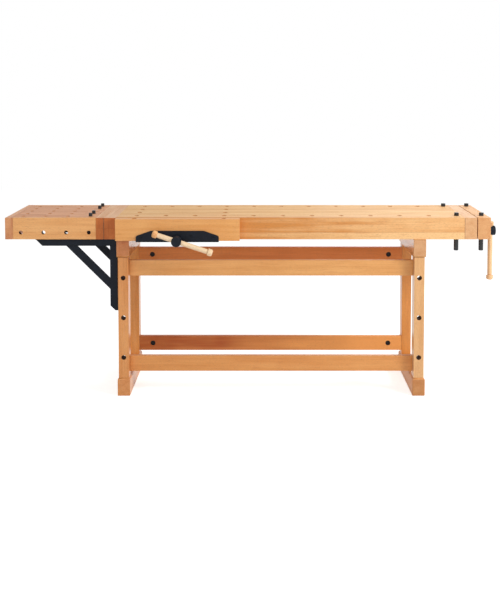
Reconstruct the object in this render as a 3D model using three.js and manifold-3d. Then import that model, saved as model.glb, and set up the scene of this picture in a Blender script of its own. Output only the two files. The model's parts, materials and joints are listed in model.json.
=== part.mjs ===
// A woodworking bench with a front vise, a full-width tail vise and a bracketed top extension.
// Millimetres, +Z up, floor at Z = 0. +X runs along the bench to the tail vise, and -Y faces the woodworker.
// The pieces are laid out from the joint between extension and bench (X = 0) and the bench front (Y = 0).
// The whole bench is then moved so that the origin lies on the floor under the middle of its box.
import * as THREE from "three";
import { mergeVertices } from "three/addons/utils/BufferGeometryUtils.js";
import Module from "manifold-3d";

const wasm = await Module();
wasm.setup();

// Clearance between pieces that touch, and how far a cutter runs past a face
const GAP = 0.3;
const OVERCUT = 1;

// Bench top
const BENCH_HEIGHT = 915;
const BENCH_LENGTH = 1890;
const BENCH_DEPTH = 500;
const APRON_HEIGHT = 110;
const BEAM_DEPTH = 120;
const PANEL_THICKNESS = 45;
const END_CAP_WIDTH = 62;

// Dog holes of the bench top
const DOG_HOLE_RADIUS = 12.5;
const DOG_HOLE_PITCH = 150;
const DOG_HOLES_IN_ROW = 11;
const FIRST_DOG_HOLE = 158;
const LAST_DOG_HOLE = 1800;
const FRONT_DOG_ROW = 77;
const CROSS_PITCH = 122;

// Top extension on the left
const EXTENSION_LENGTH = 500;
const EXTENSION_CAP_WIDTH = 40;
const EXTENSION_APRON_THICKNESS = 30;
const EXTENSION_PANEL_THICKNESS = 30;
const EXTENSION_HOLE_RADIUS = 10;
const EXTENSION_COLUMN_PITCH = 114.7;
const EXTENSION_LAST_COLUMN = -76;
const EXTENSION_ROW_PITCH = 95;
const EXTENSION_SIDE_HOLE_DROP = 75;

// Trestles and stretchers
const LEFT_TRESTLE = 96;
const RIGHT_TRESTLE = 1601;
const LEG_WIDTH = 52;
const LEG_DEPTH = 72;
const TRESTLE_DEPTH = 502;
const FOOT_WIDTH = 64;
const FOOT_HEIGHT = 91;
const FOOT_OVERHANG = 7;
const FOOT_CHAMFER = 7;
const BEARER_HEIGHT = 92;
const BEARER_CHAMFER = 10;
const TENON_WIDTH = 20;
const TENON_DEPTH = 44;
const TENON_LENGTH = 50;
const LEG_HOLE_RADIUS = 12.5;
const LEG_HOLE_HEIGHTS = [197, 402, 607];
const STRETCHER_HEIGHT = 80;
const STRETCHER_THICKNESS = 28;
const STRETCHER_BOTTOMS = { lower: 114, upper: 610 };

// Knock-down bolts that draw the stretchers to the legs
const BOLT_RADIUS = 5;
const BOLT_HEAD_RADIUS = 9;
const BOLT_HEAD_LENGTH = 6;
const BOLT_RECESS_RADIUS = 13;
const BOLT_RECESS_DEPTH = 10;
const BARREL_RADIUS = 13.5;
const BARREL_LENGTH = 20;
const BARREL_INSET = 75;
const BARREL_CLEARANCE = 0.5;
const BOLT_CLEARANCE = 1;

// Steel brackets under the extension
const BRACKET_REACH = 352;
const BRACKET_DROP = 368;
const BRACKET_FLANGE = 36;
const BRACKET_THICKNESS = 4;
const BRACKET_FRONT = 18;
const BRACKET_SPACING = 430;
const BRACKET_TOE = 25;
const BRACE_START = 163;
const BRACE_END = 221;
const BRACE_THICKNESS = 6;

// Vises
const SCREW_AXIS_HEIGHT = 812;
const ROD_AXIS_HEIGHT = 826;
const SCREW_RADIUS = 12;
const SCREW_BORE_RADIUS = 12.6;
const COLLAR_RADIUS = 14.5;
const COLLAR_LENGTH = 10;
const SCREW_NOTCH_RADIUS = 16;
const ROD_RADIUS = 10;
const ROD_BORE_RADIUS = 10.7;
const ROD_WAY_RADIUS = 11.7;
const PLATE_THICKNESS = 6;
const PLATE_BOTTOM = 800;
const PLATE_HEIGHT = 57;
const PLATE_CORNER_DROP = 26;
const PLATE_CORNER_RADIUS = 14;
const HUB_RADIUS = 19;
const BOSS_RADIUS = 25;
const BOSS_CHAMFER = 3;
const BOSS_LENGTH = 51;
const BOSS_SETBACK = 30;
const HANDLE_RADIUS = 12.5;
const HANDLE_HOLE_RADIUS = 13.4;
const HANDLE_LENGTH = 314;
const KNOB_RADIUS = 18;
const KNOB_LENGTH = 25;
const KNOB_ROUND = 5;
const KNOB_EASE = 2;
const SPIGOT_RADIUS = 7;
const SPIGOT_LENGTH = 14;
const NUT_BLOCK_DEPTH = 58;
const NUT_BLOCK_BOTTOM = 788;
const NUT_FLANGE = 16;
const SCREW_LUG_WALL = 20;
const ROD_LUG_WALL = 14;
const SCREW_END_CHAMFER = 2;

const FRONT_JAW_LENGTH = 625;
const FRONT_JAW_THICKNESS = 49.5;
const FRONT_JAW_START = 64;
const FRONT_JAW_CLEARANCE = 0.5;
const FRONT_PLATE_LENGTH = 416;
const FRONT_PLATE_CORNER = 75;
const FRONT_ROD_OFFSET = 140;
const FRONT_REACH = 340;
const FRONT_HANDLE_TILT = THREE.MathUtils.degToRad(18.4);
const FRONT_HANDLE_SHIFT = 31;

const TAIL_JAW_THICKNESS = 65;
const TAIL_JAW_OPENING = 5;
const TAIL_PLATE_LENGTH = 300;
const TAIL_PLATE_CORNER = 55;
const TAIL_ROD_OFFSET = 80;
const TAIL_REACH = 240;

// Bench dogs
const DOG_CHAMFER = 2;
const DOG_PROUD = 17;
const LONG_DOG = { radius: 12, length: 200 };
const SHORT_DOG = { radius: 9.4, length: 92 };

// Sides of the round pieces and holes
const HOLE_SIDES = 16;
const TURNED_SIDES = 24;
const BOLT_SIDES = 8;
const BOLT_HEAD_SIDES = 6;

// Heights and places worked out from the dimensions above
const APRON_BOTTOM = BENCH_HEIGHT - APRON_HEIGHT;
const DOG_ROWS = [0, 1, 2, 3].map((row) => FRONT_DOG_ROW + row * CROSS_PITCH);
const REAR_DOG_ROW = DOG_ROWS[3];
const DOG_HOLE_PLACES = Array.from(
  { length: DOG_HOLES_IN_ROW },
  (_, index) => FIRST_DOG_HOLE + index * DOG_HOLE_PITCH,
);
const CROSS_COLUMNS = [DOG_HOLE_PLACES[0], DOG_HOLE_PLACES[3]];
const EXTENSION_COLUMNS = [3, 2, 1, 0].map(
  (step) => EXTENSION_LAST_COLUMN - step * EXTENSION_COLUMN_PITCH,
);
const EXTENSION_ROWS = [-2, -1, 0, 1, 2].map(
  (step) => BENCH_DEPTH / 2 + step * EXTENSION_ROW_PITCH,
);
const LEG_BOTTOM = FOOT_HEIGHT + GAP;
const BEARER_TOP = APRON_BOTTOM - GAP;
const BEARER_BOTTOM = BEARER_TOP - BEARER_HEIGHT;
const LEG_TOP = BEARER_BOTTOM - GAP;
const REAR_LEG_FRONT = TRESTLE_DEPTH - LEG_DEPTH;
const FRONT_VISE_CENTRE = FRONT_JAW_START + FRONT_JAW_LENGTH / 2;
const TAIL_VISE_CENTRE = BENCH_DEPTH / 2;
const TAIL_JAW_START = BENCH_LENGTH + TAIL_JAW_OPENING;
const HANDLE_SETBACK = BOSS_SETBACK + BOSS_LENGTH / 2;
const HANDLE_STOP = HANDLE_LENGTH / 2 - KNOB_LENGTH - BOSS_RADIUS - GAP;
const BOSS_REACH = BOSS_SETBACK + BOSS_LENGTH;

const beech = (colour) =>
  new THREE.MeshStandardMaterial({ color: colour, roughness: 0.5, metalness: 0 });
const LIGHT_BEECH = 0xe9be88;
const RED_BEECH = 0xcf9a72;
const PALE_BEECH = 0xf0d3a4;
const blackSteel = () =>
  new THREE.MeshStandardMaterial({ color: 0x22262b, roughness: 0.45, metalness: 0.6 });
const brightSteel = () =>
  new THREE.MeshStandardMaterial({ color: 0xb9bcc0, roughness: 0.3, metalness: 1 });
const castIron = () =>
  new THREE.MeshStandardMaterial({ color: 0x33363a, roughness: 0.7, metalness: 0.5 });

// A closed geometry as a solid that can be cut and joined
function solid(geometry) {
  const bare = geometry.clone();
  bare.deleteAttribute("normal");
  bare.deleteAttribute("uv");
  const merged = mergeVertices(bare, 1e-4);
  return new wasm.Manifold(
    new wasm.Mesh({
      numProp: 3,
      vertProperties: merged.attributes.position.array,
      triVerts: new Uint32Array(merged.index.array),
    }),
  );
}

// A solid back as a geometry
function surface(body) {
  const mesh = body.getMesh();
  const geometry = new THREE.BufferGeometry();
  geometry.setAttribute("position", new THREE.BufferAttribute(mesh.vertProperties, 3));
  geometry.setIndex(new THREE.BufferAttribute(mesh.triVerts, 1));
  geometry.computeVertexNormals();
  return geometry;
}

function cut(geometry, cutters) {
  return surface(cutters.reduce((body, cutter) => body.subtract(solid(cutter)), solid(geometry)));
}

function join(geometries) {
  return surface(geometries.map(solid).reduce((body, other) => body.add(other)));
}

// A box between two limits on each axis
function board([x0, x1], [y0, y1], [z0, z1]) {
  const geometry = new THREE.BoxGeometry(x1 - x0, y1 - y0, z1 - z0);
  return geometry.translate((x0 + x1) / 2, (y0 + y1) / 2, (z0 + z1) / 2);
}

// Round bars along the axes, each between two limits
function barAlongX(radius, [x0, x1], y, z, sides = HOLE_SIDES) {
  const geometry = new THREE.CylinderGeometry(radius, radius, x1 - x0, sides);
  return geometry.rotateZ(Math.PI / 2).translate((x0 + x1) / 2, y, z);
}

function barAlongY(radius, x, [y0, y1], z, sides = HOLE_SIDES) {
  const geometry = new THREE.CylinderGeometry(radius, radius, y1 - y0, sides);
  return geometry.translate(x, (y0 + y1) / 2, z);
}

function barAlongZ(radius, x, y, [z0, z1], sides = HOLE_SIDES) {
  const geometry = new THREE.CylinderGeometry(radius, radius, z1 - z0, sides);
  return geometry.rotateX(Math.PI / 2).translate(x, y, (z0 + z1) / 2);
}

// A plate with its outline in X and Z, spread over Y from front to back
function plateAcrossY(outline, [y0, y1]) {
  const geometry = new THREE.ExtrudeGeometry(outline, {
    depth: y1 - y0,
    bevelEnabled: false,
    curveSegments: 4,
  });
  return geometry.rotateX(Math.PI / 2).translate(0, y1, 0);
}

function outlineOf(points) {
  return new THREE.Shape(points.map(([x, z]) => new THREE.Vector2(x, z)));
}

// A turned piece from [radius, distance along +Y] pairs that start and end on the axis
function turned(profile, sides = TURNED_SIDES) {
  return new THREE.LatheGeometry(
    profile.map(([radius, along]) => new THREE.Vector2(radius, along)),
    sides,
  );
}

function piece(parent, name, geometry, material) {
  const mesh = new THREE.Mesh(geometry, material);
  mesh.name = name;
  parent.add(mesh);
  return mesh;
}

// Through hole from above for a bench dog
function dogHole(x, y, radius = DOG_HOLE_RADIUS) {
  return barAlongZ(radius, x, y, [APRON_BOTTOM - OVERCUT, BENCH_HEIGHT + OVERCUT]);
}

// Way for a vise screw, open below, through a board that the screw crosses along Y
function screwWayAlongY(x, [y0, y1], radius) {
  return [
    barAlongY(radius, x, [y0, y1], SCREW_AXIS_HEIGHT, TURNED_SIDES),
    board([x - radius, x + radius], [y0, y1], [APRON_BOTTOM - OVERCUT, SCREW_AXIS_HEIGHT]),
  ];
}

// Bench top: two thick beams with the dog holes, a thinner panel between them, and two end caps
function addBenchTop(bench) {
  const between = [END_CAP_WIDTH + GAP, BENCH_LENGTH - END_CAP_WIDTH - GAP];
  const height = [APRON_BOTTOM, BENCH_HEIGHT];
  const rowHoles = (y) => [...DOG_HOLE_PLACES, LAST_DOG_HOLE].map((x) => dogHole(x, y));
  const acrossBeam = [-OVERCUT, BEAM_DEPTH + OVERCUT];
  const viseWays = [
    ...screwWayAlongY(FRONT_VISE_CENTRE, acrossBeam, SCREW_NOTCH_RADIUS),
    ...[-1, 1].map((side) =>
      barAlongY(ROD_WAY_RADIUS, FRONT_VISE_CENTRE + side * FRONT_ROD_OFFSET, acrossBeam, ROD_AXIS_HEIGHT),
    ),
  ];
  const frontBeam = board(between, [0, BEAM_DEPTH], height);
  const rearBeam = board(between, [BENCH_DEPTH - BEAM_DEPTH, BENCH_DEPTH], height);
  const panel = board(
    between,
    [BEAM_DEPTH + GAP, BENCH_DEPTH - BEAM_DEPTH - GAP],
    [BENCH_HEIGHT - PANEL_THICKNESS, BENCH_HEIGHT],
  );
  const panelHoles = CROSS_COLUMNS.flatMap((x) => DOG_ROWS.slice(1, 3).map((y) => dogHole(x, y)));
  piece(bench, "front_beam", cut(frontBeam, [...rowHoles(FRONT_DOG_ROW), ...viseWays]), beech(LIGHT_BEECH));
  piece(bench, "rear_beam", cut(rearBeam, rowHoles(REAR_DOG_ROW)), beech(LIGHT_BEECH));
  piece(bench, "top_panel", cut(panel, panelHoles), beech(LIGHT_BEECH));

  const leftCap = board([0, END_CAP_WIDTH], [0, BENCH_DEPTH], height);
  piece(bench, "left_end_cap", leftCap, beech(LIGHT_BEECH));

  const capSpan = [BENCH_LENGTH - END_CAP_WIDTH, BENCH_LENGTH];
  const throughCap = [capSpan[0] - OVERCUT, capSpan[1] + OVERCUT];
  const rightCap = cut(board(capSpan, [0, BENCH_DEPTH], height), [
    barAlongX(SCREW_NOTCH_RADIUS, throughCap, TAIL_VISE_CENTRE, SCREW_AXIS_HEIGHT, TURNED_SIDES),
    board(
      throughCap,
      [TAIL_VISE_CENTRE - SCREW_NOTCH_RADIUS, TAIL_VISE_CENTRE + SCREW_NOTCH_RADIUS],
      [APRON_BOTTOM - OVERCUT, SCREW_AXIS_HEIGHT],
    ),
    ...[-1, 1].map((side) =>
      barAlongX(ROD_WAY_RADIUS, throughCap, TAIL_VISE_CENTRE + side * TAIL_ROD_OFFSET, ROD_AXIS_HEIGHT),
    ),
  ]);
  piece(bench, "right_end_cap", rightCap, beech(LIGHT_BEECH));
}

// Extension: a thin pierced panel inside a frame of two aprons and two caps, hollow below
function addExtension(bench) {
  const left = -EXTENSION_LENGTH;
  const inner = [left + EXTENSION_CAP_WIDTH + GAP, -EXTENSION_CAP_WIDTH - GAP];
  const height = [APRON_BOTTOM, BENCH_HEIGHT];
  const panel = board(
    inner,
    [EXTENSION_APRON_THICKNESS + GAP, BENCH_DEPTH - EXTENSION_APRON_THICKNESS - GAP],
    [BENCH_HEIGHT - EXTENSION_PANEL_THICKNESS, BENCH_HEIGHT],
  );
  const panelHoles = EXTENSION_COLUMNS.flatMap((x) =>
    EXTENSION_ROWS.map((y) => dogHole(x, y, EXTENSION_HOLE_RADIUS)),
  );
  piece(bench, "extension_panel", cut(panel, panelHoles), beech(RED_BEECH));

  const aprons = {
    extension_front_apron: [0, EXTENSION_APRON_THICKNESS],
    extension_rear_apron: [BENCH_DEPTH - EXTENSION_APRON_THICKNESS, BENCH_DEPTH],
  };
  const sideHoleHeight = BENCH_HEIGHT - EXTENSION_SIDE_HOLE_DROP;
  for (const [name, [y0, y1]] of Object.entries(aprons)) {
    const sideHoles = EXTENSION_COLUMNS.map((x) =>
      barAlongY(EXTENSION_HOLE_RADIUS, x, [y0 - OVERCUT, y1 + OVERCUT], sideHoleHeight),
    );
    piece(bench, name, cut(board(inner, [y0, y1], height), sideHoles), beech(LIGHT_BEECH));
  }

  const caps = {
    extension_left_cap: [left, left + EXTENSION_CAP_WIDTH],
    extension_right_cap: [-EXTENSION_CAP_WIDTH, -GAP],
  };
  for (const [name, span] of Object.entries(caps)) {
    piece(bench, name, board(span, [0, BENCH_DEPTH], height), beech(LIGHT_BEECH));
  }
}

// Angle-steel bracket: an arm under the extension, a post on the leg and a diagonal brace
function addBracket(bench, side, front) {
  const bracket = new THREE.Group();
  bracket.position.y = front;
  bench.add(bracket);
  const right = LEFT_TRESTLE - FOOT_WIDTH / 2 - GAP;
  const top = APRON_BOTTOM - GAP;
  const armBottom = top - BRACKET_FLANGE;
  const postLeft = right - BRACKET_FLANGE;
  const postTop = armBottom - GAP;
  const postBottom = top - BRACKET_DROP;
  const deep = [0, BRACKET_FLANGE];
  const thin = [0, BRACKET_THICKNESS];

  const armFace = outlineOf([
    [-BRACKET_REACH, top],
    [-BRACKET_REACH + BRACKET_FLANGE, armBottom],
    [right, armBottom],
    [right, top],
  ]);
  const armShelf = board([-BRACKET_REACH, right], deep, [top - BRACKET_THICKNESS, top]);
  piece(bracket, `${side}_bracket_arm`, join([plateAcrossY(armFace, thin), armShelf]), blackSteel());

  const postFace = outlineOf([
    [postLeft, postTop],
    [postLeft, postBottom + BRACKET_TOE],
    [postLeft + BRACKET_TOE, postBottom],
    [right, postBottom],
    [right, postTop],
  ]);
  const postWeb = board([right - BRACKET_THICKNESS, right], deep, [postBottom, postTop]);
  const legFace = LEFT_TRESTLE - LEG_WIDTH / 2 - GAP;
  const spacer = board([right - BRACKET_THICKNESS, legFace], deep, [postBottom, postBottom + BRACKET_FLANGE]);
  piece(
    bracket,
    `${side}_bracket_post`,
    join([plateAcrossY(postFace, thin), postWeb, spacer]),
    blackSteel(),
  );

  const braceRight = postLeft - GAP;
  const braceFace = outlineOf([
    [braceRight - BRACE_END, postTop],
    [braceRight, postTop - BRACE_END],
    [braceRight, postTop - BRACE_START],
    [braceRight - BRACE_START, postTop],
  ]);
  piece(bracket, `${side}_bracket_brace`, plateAcrossY(braceFace, [0, BRACE_THICKNESS]), blackSteel());
}

// Foot with its four top edges chamfered
function footGeometry() {
  const chamfered = new THREE.ExtrudeGeometry(
    outlineOf([
      [-FOOT_WIDTH / 2 + FOOT_CHAMFER, -FOOT_OVERHANG + FOOT_CHAMFER],
      [FOOT_WIDTH / 2 - FOOT_CHAMFER, -FOOT_OVERHANG + FOOT_CHAMFER],
      [FOOT_WIDTH / 2 - FOOT_CHAMFER, TRESTLE_DEPTH + FOOT_OVERHANG - FOOT_CHAMFER],
      [-FOOT_WIDTH / 2 + FOOT_CHAMFER, TRESTLE_DEPTH + FOOT_OVERHANG - FOOT_CHAMFER],
    ]),
    {
      depth: FOOT_HEIGHT - FOOT_CHAMFER,
      bevelThickness: FOOT_CHAMFER,
      bevelSize: FOOT_CHAMFER,
      bevelSegments: 1,
    },
  );
  const belowFloor = [-FOOT_CHAMFER - OVERCUT, 0];
  const floorCut = board([-FOOT_WIDTH, FOOT_WIDTH], [-FOOT_WIDTH, TRESTLE_DEPTH + FOOT_WIDTH], belowFloor);
  return cut(chamfered, [floorCut]);
}

// Bearer with the lower corners of both ends cut off
function bearerGeometry() {
  const ends = [-FOOT_OVERHANG, TRESTLE_DEPTH + FOOT_OVERHANG];
  const face = outlineOf([
    [ends[0], BEARER_TOP],
    [ends[0], BEARER_BOTTOM + BEARER_CHAMFER],
    [ends[0] + BEARER_CHAMFER, BEARER_BOTTOM],
    [ends[1] - BEARER_CHAMFER, BEARER_BOTTOM],
    [ends[1], BEARER_BOTTOM + BEARER_CHAMFER],
    [ends[1], BEARER_TOP],
  ]);
  return plateAcrossY(face, [-FOOT_WIDTH / 2, FOOT_WIDTH / 2]).rotateZ(Math.PI / 2);
}

// Mortise that takes a leg's tenon, with its clearance
function mortise(legMiddle, [z0, z1]) {
  const halfWidth = TENON_WIDTH / 2 + GAP;
  const halfDepth = TENON_DEPTH / 2 + GAP;
  return board([-halfWidth, halfWidth], [legMiddle - halfDepth, legMiddle + halfDepth], [z0, z1]);
}

// One leg with tenons, its cross holes and the ways for its two stretcher bolts
function legGeometry(legFront, boltLine, outward, holeHeights) {
  const middle = legFront + LEG_DEPTH / 2;
  const post = board(
    [-LEG_WIDTH / 2, LEG_WIDTH / 2],
    [legFront, legFront + LEG_DEPTH],
    [LEG_BOTTOM, LEG_TOP],
  );
  const tenon = board(
    [-TENON_WIDTH / 2, TENON_WIDTH / 2],
    [middle - TENON_DEPTH / 2, middle + TENON_DEPTH / 2],
    [LEG_BOTTOM - TENON_LENGTH, LEG_TOP + TENON_LENGTH],
  );
  const crossHoles = holeHeights.map((z) =>
    barAlongY(LEG_HOLE_RADIUS, 0, [legFront - OVERCUT, legFront + LEG_DEPTH + OVERCUT], z),
  );
  const boltWays = Object.values(STRETCHER_BOTTOMS).flatMap((bottom) => {
    const z = bottom + STRETCHER_HEIGHT / 2;
    const outerFace = (outward * LEG_WIDTH) / 2;
    const recess = [outerFace - outward * BOLT_RECESS_DEPTH, outerFace + outward * OVERCUT];
    return [
      barAlongX(BOLT_RADIUS + BOLT_CLEARANCE, [-LEG_WIDTH, LEG_WIDTH], boltLine, z, BOLT_SIDES),
      barAlongX(BOLT_RECESS_RADIUS, recess.sort((a, b) => a - b), boltLine, z),
    ];
  });
  return cut(join([post, tenon]), [...crossHoles, ...boltWays]);
}

// The middle of the stretchers' thickness, where their bolts run
function boltLineOf(row) {
  const frontLine = LEG_DEPTH - STRETCHER_THICKNESS / 2;
  return row === "front" ? frontLine : REAR_LEG_FRONT + STRETCHER_THICKNESS / 2;
}

// Trestle: a foot and a bearer joined by two legs
function addTrestle(bench, side, place, outward) {
  const trestle = new THREE.Group();
  trestle.position.x = place;
  bench.add(trestle);
  const legFronts = { front: 0, rear: REAR_LEG_FRONT };
  const legMiddles = Object.values(legFronts).map((legFront) => legFront + LEG_DEPTH / 2);
  const footMortises = legMiddles.map((y) =>
    mortise(y, [LEG_BOTTOM - TENON_LENGTH - GAP, FOOT_HEIGHT + OVERCUT]),
  );
  const bearerMortises = legMiddles.map((y) =>
    mortise(y, [BEARER_BOTTOM - OVERCUT, LEG_TOP + TENON_LENGTH + GAP]),
  );
  piece(trestle, `${side}_foot`, cut(footGeometry(), footMortises), beech(LIGHT_BEECH));
  piece(trestle, `${side}_bearer`, cut(bearerGeometry(), bearerMortises), beech(LIGHT_BEECH));
  for (const [row, legFront] of Object.entries(legFronts)) {
    const holeHeights = row === "front" ? LEG_HOLE_HEIGHTS : [];
    const geometry = legGeometry(legFront, boltLineOf(row), outward, holeHeights);
    piece(trestle, `${side}_${row}_leg`, geometry, beech(LIGHT_BEECH));
  }
}

// Stretcher with a blind hole for a barrel nut near each end, open on the inner face
function addStretcher(bench, row, level) {
  const span = [LEFT_TRESTLE + LEG_WIDTH / 2 + GAP, RIGHT_TRESTLE - LEG_WIDTH / 2 - GAP];
  const line = boltLineOf(row);
  const bottom = STRETCHER_BOTTOMS[level];
  const middle = bottom + STRETCHER_HEIGHT / 2;
  const inward = row === "front" ? 1 : -1;
  const thickness = [line - STRETCHER_THICKNESS / 2, line + STRETCHER_THICKNESS / 2];
  const innerFace = line + (inward * STRETCHER_THICKNESS) / 2;
  const blindEnd = line - inward * (BARREL_LENGTH / 2 + GAP);
  const holeSpan = [blindEnd, innerFace + inward * OVERCUT].sort((a, b) => a - b);
  const barrelPlaces = [span[0] + BARREL_INSET, span[1] - BARREL_INSET];
  const boltSpans = [
    [span[0] - OVERCUT, barrelPlaces[0]],
    [barrelPlaces[1], span[1] + OVERCUT],
  ];
  const cutters = barrelPlaces.flatMap((x, end) => [
    barAlongY(BARREL_RADIUS + BARREL_CLEARANCE, x, holeSpan, middle),
    barAlongX(BOLT_RADIUS + BOLT_CLEARANCE, boltSpans[end], line, middle, BOLT_SIDES),
  ]);
  const rail = board(span, thickness, [bottom, bottom + STRETCHER_HEIGHT]);
  piece(bench, `${row}_${level}_stretcher`, cut(rail, cutters), beech(LIGHT_BEECH));

  const ends = { left: [LEFT_TRESTLE, -1], right: [RIGHT_TRESTLE, 1] };
  Object.entries(ends).forEach(([side, [place, outward]], end) => {
    const seat = place + outward * (LEG_WIDTH / 2 - BOLT_RECESS_DEPTH + GAP);
    const head = [seat, seat + outward * BOLT_HEAD_LENGTH].sort((a, b) => a - b);
    const shank = [seat, barrelPlaces[end]].sort((a, b) => a - b);
    const halfBarrel = BARREL_LENGTH / 2;
    const bolt = join([
      barAlongX(BOLT_HEAD_RADIUS, head, line, middle, BOLT_HEAD_SIDES),
      barAlongX(BOLT_RADIUS, shank, line, middle, BOLT_SIDES),
      barAlongY(BARREL_RADIUS, barrelPlaces[end], [line - halfBarrel, line + halfBarrel], middle),
    ]);
    piece(bench, `${side}_${row}_${level}_bolt`, bolt, brightSteel());
  });
}

// Face plate of a vise: slanted upper corners, with the hub that the screw turns in
function facePlateGeometry(length, corner, jawFace) {
  const half = length / 2;
  const top = PLATE_BOTTOM + PLATE_HEIGHT;
  const shoulder = top - PLATE_CORNER_DROP;
  const outline = new THREE.Shape();
  outline.moveTo(-half, PLATE_BOTTOM);
  outline.lineTo(half, PLATE_BOTTOM);
  outline.lineTo(half, shoulder - PLATE_CORNER_RADIUS / 2);
  outline.quadraticCurveTo(half, shoulder, half - PLATE_CORNER_RADIUS, shoulder + PLATE_CORNER_RADIUS / 3);
  outline.lineTo(half - corner, top);
  outline.lineTo(corner - half, top);
  outline.lineTo(PLATE_CORNER_RADIUS - half, shoulder + PLATE_CORNER_RADIUS / 3);
  outline.quadraticCurveTo(-half, shoulder, -half, shoulder - PLATE_CORNER_RADIUS / 2);
  const back = jawFace - GAP;
  const front = back - PLATE_THICKNESS;
  const hubEnd = jawFace - BOSS_SETBACK + GAP;
  const plate = plateAcrossY(outline, [front, back]);
  const hub = barAlongY(HUB_RADIUS, 0, [hubEnd, back], SCREW_AXIS_HEIGHT, TURNED_SIDES);
  const throughHub = [hubEnd - OVERCUT, back + OVERCUT];
  const bore = barAlongY(SCREW_BORE_RADIUS, 0, throughHub, SCREW_AXIS_HEIGHT, TURNED_SIDES);
  return cut(join([plate, hub]), [bore]);
}

// Screw with its boss at the near end and a collar behind the plate, turned about +Y from the boss face
function screwGeometry(jawThickness, reach) {
  const collarStart = BOSS_REACH + GAP;
  const collarEnd = collarStart + COLLAR_LENGTH;
  const end = BOSS_REACH + jawThickness + reach;
  const body = turned([
    [0, 0],
    [BOSS_RADIUS - BOSS_CHAMFER, 0],
    [BOSS_RADIUS, BOSS_CHAMFER],
    [BOSS_RADIUS, BOSS_LENGTH],
    [SCREW_RADIUS, BOSS_LENGTH],
    [SCREW_RADIUS, collarStart],
    [COLLAR_RADIUS, collarStart],
    [COLLAR_RADIUS, collarEnd],
    [SCREW_RADIUS, collarEnd],
    [SCREW_RADIUS, end - SCREW_END_CHAMFER],
    [SCREW_RADIUS - SCREW_END_CHAMFER, end],
    [0, end],
  ]);
  const handleHole = barAlongX(
    HANDLE_HOLE_RADIUS,
    [-BOSS_RADIUS - OVERCUT, BOSS_RADIUS + OVERCUT],
    BOSS_LENGTH / 2,
    0,
    TURNED_SIDES,
  );
  return cut(body, [handleHole]);
}

// Handle bar with one knob turned on it and a spigot for the other, along +Y from its middle
function handleBarGeometry() {
  const half = HANDLE_LENGTH / 2;
  const knobStart = half - KNOB_LENGTH;
  return turned([
    [0, -half],
    [KNOB_RADIUS - KNOB_ROUND, -half],
    [KNOB_RADIUS, -half + KNOB_ROUND],
    [KNOB_RADIUS, -knobStart - KNOB_EASE],
    [KNOB_RADIUS - KNOB_EASE, -knobStart],
    [HANDLE_RADIUS, -knobStart],
    [HANDLE_RADIUS, knobStart],
    [SPIGOT_RADIUS, knobStart],
    [SPIGOT_RADIUS, knobStart + SPIGOT_LENGTH],
    [0, knobStart + SPIGOT_LENGTH],
  ]);
}

// Loose knob with the blind hole that fits the spigot
function handleKnobGeometry() {
  const half = HANDLE_LENGTH / 2;
  const start = half - KNOB_LENGTH + GAP;
  const holeEnd = half - KNOB_LENGTH + SPIGOT_LENGTH + GAP;
  return turned([
    [0, holeEnd],
    [SPIGOT_RADIUS + GAP, holeEnd],
    [SPIGOT_RADIUS + GAP, start],
    [KNOB_RADIUS - KNOB_EASE, start],
    [KNOB_RADIUS, start + KNOB_EASE],
    [KNOB_RADIUS, half - KNOB_ROUND],
    [KNOB_RADIUS - KNOB_ROUND, half],
    [0, half],
  ]);
}

// Nut block under the top: a flange with three lugs, for the screw and the two guide rods
function nutBlockGeometry(rodOffset, start) {
  const top = BENCH_HEIGHT - PANEL_THICKNESS - GAP;
  const flangeBottom = top - NUT_FLANGE;
  const rodLug = ROD_RADIUS + ROD_LUG_WALL;
  const screwLug = SCREW_RADIUS + SCREW_LUG_WALL;
  const rodLugBottom = ROD_AXIS_HEIGHT - rodLug;
  const outer = rodOffset + rodLug;
  const inner = rodOffset - rodLug;
  const half = [
    [screwLug, NUT_BLOCK_BOTTOM],
    [screwLug, flangeBottom],
    [inner, flangeBottom],
    [inner, rodLugBottom],
    [outer, rodLugBottom],
    [outer, top],
  ];
  const mirrored = half.map(([x, z]) => [-x, z]).reverse();
  const span = [start, start + NUT_BLOCK_DEPTH];
  const through = [span[0] - OVERCUT, span[1] + OVERCUT];
  return cut(plateAcrossY(outlineOf([...half, ...mirrored]), span), [
    barAlongY(SCREW_BORE_RADIUS, 0, through, SCREW_AXIS_HEIGHT, TURNED_SIDES),
    barAlongY(ROD_BORE_RADIUS, -rodOffset, through, ROD_AXIS_HEIGHT),
    barAlongY(ROD_BORE_RADIUS, rodOffset, through, ROD_AXIS_HEIGHT),
  ]);
}

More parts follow.
